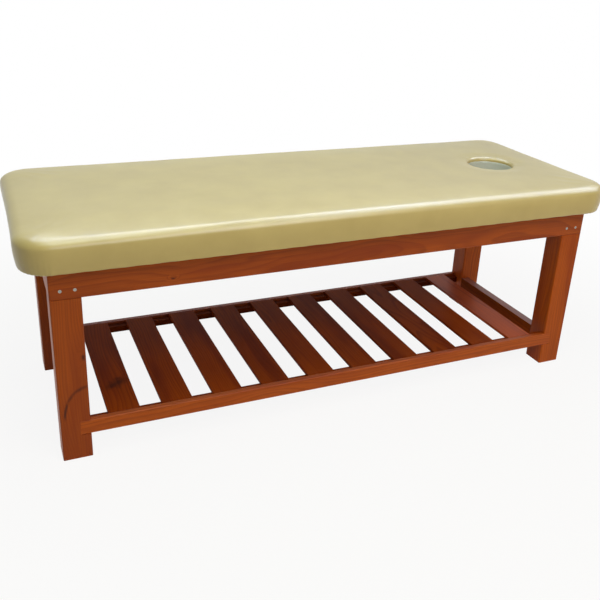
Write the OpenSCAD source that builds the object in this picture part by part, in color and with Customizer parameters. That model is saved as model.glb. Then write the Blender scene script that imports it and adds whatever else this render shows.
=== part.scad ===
// Fixed-height treatment bed: a stained pine frame with four legs, a slatted shelf near
// the floor, and an upholstered top with a face hole at its head end.
// Axes: +X to the head end, +Y to the far side, +Z up, origin on the floor under the middle
// of the top.

/* [Frame] */
// Length of the frame over its legs
frame_l = 1720; // [1500:10:2000]
// Width of the frame over its legs
frame_w = 584; // [500:2:700]
// Height of the frame, floor to the underside of the top
frame_h = 576; // [480:2:700]

/* [Legs] */
// Leg section along the bed
leg_l = 80; // [68:1:100]
// Leg section across the bed
leg_w = 74; // [64:1:95]
// Rounding of the leg's upright edges
leg_edge_r = 4; // [2:0.5:8]

/* [Aprons] */
// Height of the apron boards
apron_h = 88; // [70:1:120]
// Thickness of the apron boards
apron_t = 22; // [16:0.5:24]

/* [Bearers under the top] */
// Width of a cross bearer
bearer_w = 40; // [28:1:60]
// Height of a cross bearer
bearer_h = 60; // [40:1:66]
// Depth of the housing that holds each end of a bearer
bearer_housing = 8; // [4:0.5:10]

/* [Shelf] */
// Height of the shelf's underside above the floor
shelf_z = 74; // [50:1:140]
// Height of the shelf rails
shelf_rail_h = 43; // [38:0.5:60]
// Thickness of the long shelf rails
shelf_rail_t = 18; // [14:0.5:22]
// Length of the long rail's end that is let into the leg's face
shelf_rail_lap = 28; // [20:1:40]
// Thickness of the shelf's end rails
end_rail_t = 33; // [22:1:36]
// Length of the end rail's stub tenon
tenon_l = 22; // [14:1:26]
// Thickness of the end rail's stub tenon
tenon_t = 14; // [10:0.5:16]
// Height of the end rail's stub tenon
tenon_h = 26; // [20:0.5:30]

/* [Slats] */
// Width of a slat
slat_w = 90; // [70:1:100]
// Thickness of a slat
slat_t = 10; // [8:0.5:16]
// Gap between the last slat and the end rail
slat_end_gap = 50; // [30:1:80]
// Width of the cleat under the slat ends
cleat_w = 22; // [18:0.5:30]
// Height of the cleat under the slat ends
cleat_h = 20; // [14:0.5:22]

/* [Upholstered top] */
// Overhang of the top beyond the frame at the foot end
pad_over_foot = 73; // [40:1:90]
// Overhang of the top beyond the frame at the head end
pad_over_head = 57; // [40:1:90]
// Overhang of the top beyond the frame at each side
pad_over_side = 56; // [35:1:80]
// Thickness of the top at its crown
pad_h = 96; // [75:1:120]
// Rise of the crown above the edge of the top
pad_crown = 5; // [2:0.5:12]
// Width of the band over which the crown rises
pad_crown_band = 120; // [80:1:130]
// Radius of the top's corners, seen from above
pad_corner_r = 90; // [60:1:100]
// How far in the rounded upper edge reaches
pad_edge_run = 32; // [24:1:50]
// How far down the rounded upper edge reaches
pad_edge_drop = 22; // [18:1:36]
// Radius of the lower edge
pad_foot_r = 6; // [4:0.5:9]
// How far the lower edge is drawn in by the stretched cover
pad_pull = 6; // [1:0.5:8]
// How far the sides are drawn in between the corners
pad_draw = 3; // [1:0.5:8]
// Thickness of the cover
cover_t = 1.5; // [1:0.1:2.5]
// Width of the cover's return under the board
cover_return = 46; // [36:1:60]
// Thickness of the plywood board
deck_t = 12; // [9:1:18]

/* [Face hole] */
// Diameter of the face hole
hole_d = 150; // [130:1:160]
// Distance from the head end of the top to the hole's centre
hole_from_end = 246; // [240:1:300]
// Radius of the rolled rim of the hole
hole_rim_r = 14; // [8:0.5:20]
// Width of the lining's flange under the board
hole_flange = 20; // [12:1:28]

/* [Fasteners] */
// Shank diameter of the frame screws
screw_d = 4.5; // [3.5:0.1:6]
// Head diameter of the frame screws
screw_head_d = 9; // [7.5:0.1:11]
// Length of the frame screws
screw_l = 50; // [40:1:56]
// Distance from the frame's end to the outer apron screw
apron_screw_edge = 28; // [24:1:34]
// Distance between the two apron screws at a leg
apron_screw_pitch = 37; // [20:1:38]
// Height of the long apron's screws above its lower edge
apron_screw_up = 24; // [16:1:30]
// Shank diameter of the small screws in the shelf
slat_screw_d = 3.5; // [3:0.1:4]
// Head diameter of the small screws in the shelf
slat_screw_head_d = 7; // [6:0.1:8]
// Diameter of the wooden dowels
dowel_d = 8; // [6:0.5:9]

/* [Hidden] */

$fn = 48;

// Colours of the finishes
wood_front = [0.62, 0.26, 0.10];
wood_leg = [0.55, 0.23, 0.08];
wood_shelf = [0.42, 0.17, 0.08];
wood_raw = [0.83, 0.69, 0.47];
vinyl_cream = [0.80, 0.76, 0.57];
foam_yellow = [0.93, 0.88, 0.66];
fleece_black = [0.10, 0.10, 0.10];
zinc = [0.80, 0.79, 0.74];

// Fits and overruns
// Overrun of every cut past the face that it opens
over = 2;
// Gap between a wooden part and the pocket that it slides into
wood_fit = 0.2;
// Gap round a screw or dowel in its hole
hole_fit = 0.1;
// Gap between a soft part and what lies round it
soft_fit = 0.3;
// Rounding of the long edges of the boards
board_edge_r = 3;
// Rounding of the long edges of the slats
slat_edge_r = 2;

// Frame places, about the frame's own middle
half_l = frame_l / 2;
half_w = frame_w / 2;
apron_z = frame_h - apron_h;
leg_inner_x = half_l - leg_l;
leg_inner_y = half_w - leg_w;

// Shelf places: rails and slats are flush on top, the slats lie on cleats inside the rails
// Number of slats, one for each slat in the list above
slat_count = 10;
shelf_top = shelf_z + shelf_rail_h;
rail_inner_y = half_w - shelf_rail_t;
cleat_top = shelf_top - slat_t;
slat_l = 2 * (rail_inner_y - soft_fit);
slat_first_x = -leg_inner_x + slat_end_gap + slat_w / 2;
slat_pitch = -2 * slat_first_x / (slat_count - 1);
slat_places = [for (i = [0 : slat_count - 1]) slat_first_x + i * slat_pitch];

// Bearers, as shares of the frame's length from its middle
bearer_place_shares = [-0.315, -0.105, 0.105, 0.3];
bearer_places = [for (s = bearer_place_shares) s * frame_l];
bearer_z = frame_h - bearer_h;
bearer_l = 2 * (half_w - apron_t + bearer_housing - wood_fit);

// Top, about its own middle, and the frame's middle from there
pad_half_l = half_l + (pad_over_foot + pad_over_head) / 2;
frame_mid_x = (pad_over_foot - pad_over_head) / 2;
pad_half_w = half_w + pad_over_side;
pad_z = frame_h;
deck_z = pad_z + cover_t;
deck_top = deck_z + deck_t;
pad_top = pad_z + pad_h;
hole_x = pad_half_l - hole_from_end;
hole_r = hole_d / 2;
deck_hole_r = hole_r + cover_t + soft_fit;
// The board lies this far inside the top's outline, clear of the drawn-in cover
deck_in = cover_t + pad_foot_r + pad_pull + pad_draw + soft_fit;
deck_half_l = pad_half_l - deck_in;
deck_half_w = pad_half_w - deck_in;
deck_corner_r = pad_corner_r - deck_in;

// Steps of the top's rounded outline: round a corner, along a side, along an end
corner_steps = 5;
side_steps = 7;
end_steps = 3;
// Steps of the rounded upper edge
edge_steps = 5;
// Steps of the lower edge
foot_steps = 2;
// Least corner radius that the outline keeps where it is far in
least_r = 1;
// Share of the height of the upright side at which its drawn-in curve is sampled, and how
// much of the pull is left there
side_height_share = 0.5;
side_pull_share = 0.35;
side_mid = pad_z + side_height_share * pad_h;
// Height where the rounded upper edge starts
side_top = pad_top - pad_crown - pad_edge_drop;
// Where the crown is sampled: share of its band, share of its rise
crown_shares = [[0.35, 0.62], [0.7, 0.92], [1, 1]];
// Part of the sides' drawing-in that is left where the crown starts
top_draw_share = 0.5;

// Screws and dowels
// Sink of a screw's head below the face
head_sink = 0.3;
slat_screw_l = slat_t + cleat_h - slat_screw_head_d / 2;
cleat_screw_l = cleat_w + shelf_rail_t - slat_screw_head_d / 2 - head_sink;
// Length of a deck screw, its hold in the board, and its place across the bearer
deck_screw_l = 28;
deck_screw_hold = 8;
deck_screw_share = 0.5;
deck_screw_y = half_w * deck_screw_share;
// Pocket in the bearer that takes a deck screw's head
deck_pocket_d = 12;
// Places of the end aprons' screws: from the long apron, apart, and above the lower edge
end_screw_edge = 14;
end_screw_pitch = 24;
end_screw_up = 58;
// Length of a rail dowel, its part in the rail, and the distance between a pair
dowel_l = 30;
dowel_in_rail = 12;
dowel_pitch = 20;

// Bare outlines and boards

// A rectangle about the middle with rounded corners
module round_rect(l, w, r) {
    square([l - 2 * r, w], center = true);
    square([l, w - 2 * r], center = true);
    for (sx = [-1, 1], sy = [-1, 1])
        translate([sx * (l / 2 - r), sy * (w / 2 - r)]) circle(r = r);
}

// A board along X: x0 to x1, y0 to y1, z0 to z1, its long edges rounded
module board_x(x0, x1, y0, y1, z0, z1, r = board_edge_r) {
    translate([x0, (y0 + y1) / 2, (z0 + z1) / 2])
        rotate([90, 0, 90])
            linear_extrude(x1 - x0) round_rect(y1 - y0, z1 - z0, r);
}

// A board along Y, its long edges rounded
module board_y(x0, x1, y0, y1, z0, z1, r = board_edge_r) {
    translate([(x0 + x1) / 2, y1, (z0 + z1) / 2])
        rotate([90, 0, 0])
            linear_extrude(y1 - y0) round_rect(x1 - x0, z1 - z0, r);
}

// Puts a piece that is drawn about the frame's middle in its place under the top
module on_frame() translate([frame_mid_x, 0, 0]) children();

// A plain block between two corners
module block(x0, x1, y0, y1, z0, z1) {
    translate([x0, y0, z0]) cube([x1 - x0, y1 - y0, z1 - z0]);
}

// The frame's outline from above, as tall as the frame
module frame_outline() {
    linear_extrude(frame_h) round_rect(frame_l, frame_w, leg_edge_r);
}

// Screws and dowels

// A countersunk screw along -Z, its head's face at z = 0
module screw(d, head_d, l) {
    head_h = (head_d - d) / 2;
    translate([0, 0, -head_h]) cylinder(h = head_h, d1 = d, d2 = head_d);
    translate([0, 0, -l]) cylinder(h = l - head_h, d = d);
}

// The hole that takes that screw, open above its head
module screw_hole(d, head_d, l) {
    head_h = (head_d - d) / 2;
    screw(d + 2 * hole_fit, head_d + 2 * hole_fit, l + hole_fit);
    cylinder(h = over, d = head_d + 2 * hole_fit);
    translate([0, 0, -head_h]) cylinder(h = head_h, d = d + 2 * hole_fit);
}

module frame_screw() screw(screw_d, screw_head_d, screw_l);
module frame_screw_hole() screw_hole(screw_d, screw_head_d, screw_l);

// Puts its children at each long apron's screws at one leg, pointing into the frame
module at_apron_screws(sx, sy) {
    for (k = [0, 1])
        translate([
            sx * (half_l - apron_screw_edge - k * apron_screw_pitch),
            sy * (half_w - head_sink),
            apron_z + apron_screw_up
        ])
            rotate([-sy * 90, 0, 0]) children();
}

// The same for the end aprons, at a height clear of the long aprons' screws
module at_end_apron_screws(sx, sy) {
    for (k = [0, 1])
        translate([
            sx * (half_l - head_sink),
            sy * (half_w - apron_t - end_screw_edge - k * end_screw_pitch),
            apron_z + end_screw_up
        ])
            rotate([0, sx * 90, 0]) children();
}

// The dowels behind the lapped end of a long shelf rail, along Y from the rail inwards
module at_rail_dowels(sx, sy) {
    for (k = [-1, 1])
        translate([
            sx * (leg_inner_x + shelf_rail_lap / 2),
            sy * (rail_inner_y + dowel_in_rail),
            shelf_z + shelf_rail_h / 2 + k * dowel_pitch / 2
        ])
            rotate([sy * 90, 0, 0]) children();
}

module dowel() cylinder(h = dowel_l, d = dowel_d);
module dowel_hole() {
    translate([0, 0, -hole_fit])
        cylinder(h = dowel_l + 2 * hole_fit, d = dowel_d + 2 * hole_fit);
}

// Deck screws, two through each bearer, up into the board
module at_deck_screws(x) {
    for (sy = [-1, 1])
        translate([x, sy * deck_screw_y, deck_z + deck_screw_hold - deck_screw_l])
            rotate([180, 0, 0]) children();
}

// Small screws up through the cleats into the slats
module at_slat_screws(x) {
    for (sy = [-1, 1])
        translate([x, sy * (rail_inner_y - cleat_w / 2), cleat_top - cleat_h + head_sink])
            rotate([180, 0, 0]) children();
}

// Small screws through the cleats into the long rails, under every second slat and halfway
// between its own screw and its edge
module at_cleat_screws(sy) {
    for (i = [0 : 2 : slat_count - 2])
        translate([
            slat_places[i] + slat_w / 4,
            sy * (rail_inner_y - cleat_w + head_sink),
            cleat_top - cleat_h / 2
        ])
            rotate([sy * 90, 0, 0]) children();
}

module slat_screw() screw(slat_screw_d, slat_screw_head_d, slat_screw_l);
module slat_screw_hole() screw_hole(slat_screw_d, slat_screw_head_d, slat_screw_l);
module cleat_screw() screw(slat_screw_d, slat_screw_head_d, cleat_screw_l);
module cleat_screw_hole() screw_hole(slat_screw_d, slat_screw_head_d, cleat_screw_l);

// Frame

// One leg: notched on two faces at the top for the aprons, on its outer face for the long
// shelf rail, and mortised on its inner face for the end rail's tenon
module leg(sx, sy) {
    color(wood_leg)
        difference() {
            translate([sx * (half_l - leg_l / 2), sy * (half_w - leg_w / 2), 0])
                linear_extrude(frame_h) round_rect(leg_l, leg_w, leg_edge_r);
            mirror([sx < 0 ? 1 : 0, 0, 0])
                mirror([0, sy < 0 ? 1 : 0, 0]) {
                    block(leg_inner_x - over, half_l + over,
                        half_w - apron_t, half_w + over, apron_z, frame_h + over);
                    block(half_l - apron_t, half_l + over,
                        leg_inner_y - over, half_w + over, apron_z, frame_h + over);
                    block(leg_inner_x - over, leg_inner_x + shelf_rail_lap,
                        rail_inner_y, half_w + over, shelf_z, shelf_top);
                    tenon_pocket();
                }
            at_apron_screws(sx, sy) frame_screw_hole();
            at_end_apron_screws(sx, sy) frame_screw_hole();
            at_rail_dowels(sx, sy) dowel_hole();
        }
}

// The mortise in the head rear leg; the other legs mirror it
module tenon_pocket() {
    block(leg_inner_x + (end_rail_t - tenon_t) / 2 - wood_fit,
        leg_inner_x + (end_rail_t + tenon_t) / 2 + wood_fit,
        leg_inner_y - over, leg_inner_y + tenon_l + wood_fit,
        shelf_z + (shelf_rail_h - tenon_h) / 2 - wood_fit,
        shelf_z + (shelf_rail_h + tenon_h) / 2 + wood_fit);
}

// A long apron: it runs over the legs' notched tops and holds the bearers' ends
module long_apron(sy) {
    y0 = sy > 0 ? half_w - apron_t : -half_w;
    color(wood_front)
        difference() {
            intersection() {
                board_x(-half_l, half_l, y0, y0 + apron_t, apron_z, frame_h);
                frame_outline();
            }
            for (x = bearer_places)
                block(x - bearer_w / 2 - wood_fit, x + bearer_w / 2 + wood_fit,
                    sy * (half_w - apron_t + bearer_housing) - (sy > 0 ? apron_t : 0),
                    sy * (half_w - apron_t + bearer_housing) + (sy > 0 ? 0 : apron_t),
                    bearer_z, frame_h + over);
            for (sx = [-1, 1])
                at_apron_screws(sx, sy) frame_screw_hole();
        }
}

// An end apron between the long ones
module end_apron(sx) {
    x0 = sx > 0 ? half_l - apron_t : -half_l;
    color(wood_front)
        difference() {
            board_y(x0, x0 + apron_t, -half_w + apron_t, half_w - apron_t, apron_z, frame_h);
            for (sy = [-1, 1])
                at_end_apron_screws(sx, sy) frame_screw_hole();
        }
}

// A cross bearer, flush with the frame's top, with a pocket and hole for each deck screw
module bearer(x) {
    color(wood_raw)
        difference() {
            block(x - bearer_w / 2, x + bearer_w / 2, -bearer_l / 2, bearer_l / 2,
                bearer_z, frame_h);
            at_deck_screws(x) {
                screw_hole(screw_d, screw_head_d, deck_screw_l);
                cylinder(h = bearer_h, d = deck_pocket_d);
            }
        }
}

// Shelf

// A long shelf rail, its ends let into the legs' outer faces
module shelf_side_rail(sy) {
    y0 = sy > 0 ? rail_inner_y : -half_w;
    end_x = leg_inner_x + shelf_rail_lap;
    color(wood_front)
        difference() {
            board_x(-end_x, end_x, y0, y0 + shelf_rail_t, shelf_z, shelf_top);
            for (sx = [-1, 1])
                at_rail_dowels(sx, sy) dowel_hole();
            at_cleat_screws(sy) cleat_screw_hole();
        }
}

// An end rail between the legs, with a stub tenon at each end
module shelf_end_rail(sx) {
    x0 = sx > 0 ? leg_inner_x : -leg_inner_x - end_rail_t;
    color(wood_front) {
        board_y(x0, x0 + end_rail_t, -leg_inner_y, leg_inner_y, shelf_z, shelf_top);
        block(x0 + (end_rail_t - tenon_t) / 2, x0 + (end_rail_t + tenon_t) / 2,
            -leg_inner_y - tenon_l, leg_inner_y + tenon_l,
            shelf_z + (shelf_rail_h - tenon_h) / 2, shelf_z + (shelf_rail_h + tenon_h) / 2);
    }
}

// The cleat along a long rail's inner face, under the slats' ends
module shelf_cleat(sy) {
    y0 = sy > 0 ? rail_inner_y - cleat_w : -rail_inner_y;
    color(wood_shelf)
        difference() {
            block(-leg_inner_x, leg_inner_x, y0, y0 + cleat_w, cleat_top - cleat_h, cleat_top);
            for (x = slat_places)
                at_slat_screws(x) slat_screw_hole();
            at_cleat_screws(sy) cleat_screw_hole();
        }
}

// A slat, flush with the rails' tops
module slat(i) {
    x = slat_places[i - 1];
    color(wood_shelf)
        difference() {
            board_y(x - slat_w / 2, x + slat_w / 2, -slat_l / 2, slat_l / 2,
                cleat_top, shelf_top, slat_edge_r);
            at_slat_screws(x) slat_screw_hole();
        }
}

// Upholstered top

// The inward direction of the side that follows corner q
function inward(q) = [sin(90 * q), -cos(90 * q)];

// Outline of the top: corner by corner, each arc followed by the side after it, which is
// drawn in between the corners
function pad_outline(hx, hy, r, draw) = [
    for (q = [0 : 3])
        let (
            c = [(q == 0 || q == 3 ? 1 : -1) * (hx - r), (q < 2 ? 1 : -1) * (hy - r)],
            d = [(q < 1 || q > 2 ? -1 : 1) * (q % 2 == 0 ? 2 * (hx - r) : 0),
                (q < 2 ? -1 : 1) * (q % 2 == 1 ? 2 * (hy - r) : 0)],
            start = c - r * inward(q),
            steps = q % 2 == 0 ? side_steps : end_steps
        )
        for (p = concat(
            [for (s = [0 : corner_steps])
                c + r * [cos(90 * (q + s / corner_steps)), sin(90 * (q + s / corner_steps))]],
            [for (s = [1 : steps - 1])
                start + d * s / steps + inward(q) * draw * sin(180 * s / steps)]
        )) p
];

// One level ring of the top at a distance in from the outline of a form that lies a skin's
// depth t inside the outer one
function pad_ring(t, inset, z, draw) = [
    for (p = pad_outline(pad_half_l - t - inset, pad_half_w - t - inset,
            max(pad_corner_r - t - inset, least_r), draw))
        [p[0], p[1], z]
];

// How far the side is drawn in at height z
function side_inset(z) = lookup(z, [
    [pad_z + pad_foot_r, pad_pull],
    [side_mid, pad_pull * side_pull_share],
    [side_top, 0]
]);

// The rings of the side and the crown from a height up, for a form a depth t in
function pad_rings(t) = concat(
    [for (z = [side_mid, side_top])
        pad_ring(t, side_inset(z), z, pad_draw)],
    [for (s = [1 : edge_steps])
        let (a = 90 * s / edge_steps)
        pad_ring(t, (pad_edge_run - t) * (1 - cos(a)),
            side_top + (pad_edge_drop - t) * sin(a),
            pad_draw * (1 - (1 - top_draw_share) * s / edge_steps))],
    [for (c = crown_shares)
        pad_ring(t, pad_edge_run - t + c[0] * pad_crown_band,
            side_top + pad_edge_drop - t + c[1] * pad_crown,
            pad_draw * top_draw_share * (1 - c[0]))]
);

// The rings of the lower edge, from the cover's return outwards and up
function foot_rings(t) = concat(
    [pad_ring(t, cover_return - t, pad_z + t, 0)],
    [for (s = [0 : foot_steps])
        let (a = 90 * s / foot_steps, r = pad_foot_r - t)
        pad_ring(t, pad_pull + r * (1 - sin(a)), pad_z + t + r * (1 - cos(a)),
            pad_draw * s / foot_steps)]
);

function reversed(list) = [for (i = [len(list) - 1 : -1 : 0]) list[i]];
function middle(ring) = [0, 0, ring[0][2]];

// A closed solid through a stack of rings of equal length, capped flat at both ends
module ring_solid(rings) {
    n = len(rings[0]);
    last = len(rings) - 1;
    points = concat([for (ring = rings) each ring], [middle(rings[0]), middle(rings[last])]);
    bottom = n * len(rings);
    top = bottom + 1;
    faces = concat(
        [for (k = [0 : last - 1], j = [0 : n - 1])
            let (a = k * n + j, b = k * n + (j + 1) % n)
            each [[a, b + n, b], [a, a + n, b + n]]],
        [for (j = [0 : n - 1]) [bottom, j, (j + 1) % n]],
        [for (j = [0 : n - 1]) [top, last * n + (j + 1) % n, last * n + j]]
    );
    polyhedron(points, faces);
}

// The space of the face hole with its rolled rim, a depth t outside the lining's bare face
module hole_space(t) {
    translate([hole_x, 0, 0])
        rotate_extrude()
            difference() {
                translate([0, pad_z - over])
                    square([hole_r + hole_rim_r, pad_h + over + hole_rim_r]);
                translate([hole_r + t, pad_z - 2 * over])
                    square([hole_rim_r, pad_h + 2 * over - hole_rim_r]);
                translate([hole_r + hole_rim_r, pad_top - hole_rim_r])
                    circle(r = hole_rim_r - t);
            }
}

// The plywood board under the foam
module deck_board() {
    color(wood_raw)
        difference() {
            translate([0, 0, deck_z])
                linear_extrude(deck_t)
                    round_rect(2 * deck_half_l, 2 * deck_half_w, deck_corner_r);
            translate([hole_x, 0, deck_z - over])
                cylinder(h = deck_t + 2 * over, r = deck_hole_r);
            on_frame()
                for (x = bearer_places)
                    at_deck_screws(x) screw_hole(screw_d, screw_head_d, deck_screw_l);
        }
}

// The foam block on the board, a soft fit inside the cover
module foam_pad() {
    t = cover_t + soft_fit;
    color(foam_yellow)
        difference() {
            ring_solid(concat(
                [pad_ring(t, side_inset(deck_top), deck_top, pad_draw)],
                pad_rings(t)
            ));
            hole_space(t);
        }
}

// The stretched cover: the crowned skin, the sides, and the return under the board
module vinyl_cover() {
    color(vinyl_cream)
        difference() {
            ring_solid(concat(
                reversed(pad_rings(cover_t)),
                reversed(foot_rings(cover_t)),
                foot_rings(0),
                pad_rings(0)
            ));
            translate([hole_x, 0, deck_top])
                cylinder(h = pad_h, r = hole_r + hole_rim_r);
        }
}

// The lining of the face hole: the rolled rim, the wall and the flange under the board
module face_hole_lining() {
    color(vinyl_cream)
        translate([hole_x, 0, 0])
            rotate_extrude() {
                translate([hole_r, pad_z])
                    square([cover_t, pad_h - hole_rim_r]);
                translate([hole_r, pad_z])
                    square([cover_t + hole_flange, cover_t]);
                intersection() {
                    translate([hole_r, pad_top - hole_rim_r])
                        square([hole_rim_r, hole_rim_r]);
                    translate([hole_r + hole_rim_r, pad_top - hole_rim_r])
                        difference() {
                            circle(r = hole_rim_r);
                            circle(r = hole_rim_r - cover_t);
                        }
                }
            }
}

// The fleece under the board, inside the cover's return
module dust_cover() {
    color(fleece_black)
        difference() {
            translate([0, 0, pad_z])
                linear_extrude(cover_t)
                    round_rect(2 * (pad_half_l - cover_return), 2 * (pad_half_w - cover_return),
                        max(pad_corner_r - cover_return, least_r));
            translate([hole_x, 0, pad_z - over])
                cylinder(h = cover_t + 2 * over, r = hole_r + cover_t + hole_flange);
            on_frame()
                for (x = bearer_places)
                    at_deck_screws(x) screw_hole(screw_d, screw_head_d, deck_screw_l);
        }
}

// Fasteners

module apron_screws() {
    color(zinc)
        for (sx = [-1, 1], sy = [-1, 1])
            at_apron_screws(sx, sy) frame_screw();
}

module end_apron_screws() {
    color(zinc)
        for (sx = [-1, 1], sy = [-1, 1])
            at_end_apron_screws(sx, sy) frame_screw();
}

module deck_screws() {
    color(zinc)
        for (x = bearer_places)
            at_deck_screws(x) screw(screw_d, screw_head_d, deck_screw_l);
}

module slat_screws() {
    color(zinc)
        for (x = slat_places)
            at_slat_screws(x) slat_screw();
}

module cleat_screws() {
    color(zinc)
        for (sy = [-1, 1])
            at_cleat_screws(sy) cleat_screw();
}

module shelf_rail_dowels() {
    color(wood_raw)
        for (sx = [-1, 1], sy = [-1, 1])
            at_rail_dowels(sx, sy) dowel();
}

on_frame() leg(-1, -1);  // leg_foot_front
on_frame() leg(-1, 1);  // leg_foot_rear
on_frame() leg(1, -1);  // leg_head_front
on_frame() leg(1, 1);  // leg_head_rear
on_frame() long_apron(-1);  // apron_front
on_frame() long_apron(1);  // apron_rear
on_frame() end_apron(1);  // apron_head
on_frame() end_apron(-1);  // apron_foot
for (i = [1 : len(bearer_places)])
    on_frame() bearer(bearer_places[i - 1]);
on_frame() shelf_side_rail(-1);  // shelf_rail_front
on_frame() shelf_side_rail(1);  // shelf_rail_rear
on_frame() shelf_end_rail(1);  // shelf_rail_head
on_frame() shelf_end_rail(-1);  // shelf_rail_foot
on_frame() shelf_cleat(-1);  // shelf_cleat_front
on_frame() shelf_cleat(1);  // shelf_cleat_rear
for (i = [1 : slat_count])
    on_frame() slat(i);
deck_board();
foam_pad();
vinyl_cover();
face_hole_lining();
dust_cover();
on_frame() apron_screws();
on_frame() end_apron_screws();
on_frame() deck_screws();
on_frame() slat_screws();
on_frame() cleat_screws();
on_frame() shelf_rail_dowels();
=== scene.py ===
"""Looks of a fixed-height treatment bed: a stained pine frame with a slatted shelf, and a thick
top in cream vinyl with a face hole. Metres, +X to the head end, -Y to the front, +Z up."""
import math
import random

import bmesh
import bpy
import numpy as np
from mathutils import Matrix, Vector, noise
from mathutils.geometry import delaunay_2d_cdt


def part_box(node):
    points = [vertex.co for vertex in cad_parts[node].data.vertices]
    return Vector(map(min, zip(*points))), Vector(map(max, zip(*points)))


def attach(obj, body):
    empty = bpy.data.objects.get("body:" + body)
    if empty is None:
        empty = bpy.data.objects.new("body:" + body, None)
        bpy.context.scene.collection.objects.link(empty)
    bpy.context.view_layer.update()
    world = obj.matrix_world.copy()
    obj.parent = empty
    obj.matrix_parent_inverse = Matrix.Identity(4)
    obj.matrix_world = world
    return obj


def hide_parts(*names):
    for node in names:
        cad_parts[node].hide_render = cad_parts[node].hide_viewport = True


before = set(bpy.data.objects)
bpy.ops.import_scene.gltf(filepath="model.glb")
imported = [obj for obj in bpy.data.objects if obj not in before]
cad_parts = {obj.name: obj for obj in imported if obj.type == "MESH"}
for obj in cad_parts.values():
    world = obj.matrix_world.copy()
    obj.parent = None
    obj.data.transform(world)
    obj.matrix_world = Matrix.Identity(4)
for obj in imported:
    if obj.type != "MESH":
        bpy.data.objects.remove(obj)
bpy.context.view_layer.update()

MM = 0.001
TURN = 2 * math.pi

# Photograph: its width and its camera, in pixels and metres
IMAGE_PX = 600
FOCAL_PX = 753.3
CENTRE_PX = (303.6, 255.0)
SENSOR_MM = 36.0
EYE = Vector((-0.9688, -2.1070, 1.3377))
LOOK = Vector((0.3790, 0.8458, -0.3755))
HEAD_UP = Vector((0.1113, 0.3612, 0.9258))

# Upholstered top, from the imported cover
TOP_LO, TOP_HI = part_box("vinyl_cover")
HALF_L = (TOP_HI.x - TOP_LO.x) / 2
HALF_W = (TOP_HI.y - TOP_LO.y) / 2
SOLE_Z = TOP_LO.z
CORNER_R = 90 * MM
# The upper edge rolls over: how far in and how far down
EDGE_RUN = 32 * MM
EDGE_DROP = 22 * MM
# The foot of the sides is rounded and pulled in
FOOT_R = 6 * MM
FOOT_PULL = 6 * MM
# The sides are drawn in between the corners, and bulge between their foot and their edge
SIDE_DRAW = 3 * MM
SIDE_BULGE = 1.2 * MM
# The face rises over a band along the edge, and dips round the hole
CROWN = 5 * MM
CROWN_BAND = 130 * MM
HOLE_DIP = 2.5 * MM
HOLE_DIP_REACH = 28 * MM
FLAT_Z = TOP_HI.z - CROWN
EDGE_Z = FLAT_Z - EDGE_DROP
# The cover's return under the board
RETURN_W = 46 * MM
RETURN_Z = SOLE_Z + 0.6 * MM

# Face hole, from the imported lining: its middle, its flange, its wall, and the roll round its rim
LINING_LO, LINING_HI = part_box("face_hole_lining")
HOLE_X = (LINING_LO.x + LINING_HI.x) / 2
FLANGE_R = (LINING_HI.x - LINING_LO.x) / 2
HOLE_R = 75 * MM
RIM_R = 14 * MM
CREST_R = HOLE_R + RIM_R
LINING_T = 1.2 * MM
LINING_PUCKER = 0.35 * MM

# Fleece under the top: its corners, how far it laps the flange, and how far it hangs down
FLEECE_R = 70 * MM
FLEECE_LAP = 12 * MM
FLEECE_SAG = 4 * MM
# It hangs free between two bearers and between the aprons
BEARERS = [f"bearer_{i}" for i in range(1, 5)]
BEARER_SIDES = sorted(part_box(bearer)[end].x for bearer in BEARERS for end in (0, 1))
SPANS = list(zip(BEARER_SIDES[1::2], BEARER_SIDES[2::2]))
APRON_Y = abs(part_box("apron_front")[1].y)

# Staples: width, wire and height, the distance from one to the next, and from the top's outline
STAPLE_SIZE = (10 * MM, 1.1 * MM, 0.5 * MM)
STAPLE_PITCH = 32 * MM
STAPLE_INSET = 30 * MM

# Screw heads, as shares of the head's radius: the flat face, and the recess with its arms' length and
# half width at the mouth and its depth
HEAD_FLAT = 0.93
RECESS_ARM = 0.56
RECESS_HALF = 0.12
RECESS_DEPTH = 0.42

# Mesh fineness: steps in each corner, side and curve, and the distance between points on a face
CORNER_STEPS = 26
LONG_STEPS = 130
SHORT_STEPS = 40
FOOT_STEPS = 4
SIDE_STEPS = 8
EDGE_STEPS = 8
ROLL_STEPS = 6
HOLE_STEPS = 72
WALL_STEPS = 10
LINING_STEPS = 96
SCREW_STEPS = 24
GRID = 14 * MM
FLEECE_GRID = 30 * MM

# Cloth simulation of the cover: its frames, how far a point may move, and its rules
CLOTH_FRAMES = 20
CLOTH_CAP = 5 * MM
CLOTH_RULES = {
    "quality": 6,
    "mass": 0.4,
    "tension_stiffness": 30,
    "compression_stiffness": 30,
    "shear_stiffness": 12,
    "bending_stiffness": 0.6,
    "vertex_group_mass": "held",
    "pin_stiffness": 1.0,
    "vertex_group_shrink": "slack",
    "shrink_max": -0.09,
    "use_pressure": True,
    "uniform_pressure_force": 4.0,
}


# Materials

def linear(hex_code):
    """The linear colour of an sRGB hex code."""
    channels = [int(hex_code[i:i + 2], 16) / 255 for i in (0, 2, 4)]
    return (*(c / 12.92 if c <= 0.04045 else ((c + 0.055) / 1.055) ** 2.4 for c in channels), 1.0)


def fill(tree, node, inputs):
    """Fills a node's inputs with values or with other nodes' outputs."""
    for name, value in inputs.items():
        if isinstance(value, bpy.types.NodeSocket):
            tree.links.new(value, node.inputs[name])
        else:
            node.inputs[name].default_value = value


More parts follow.
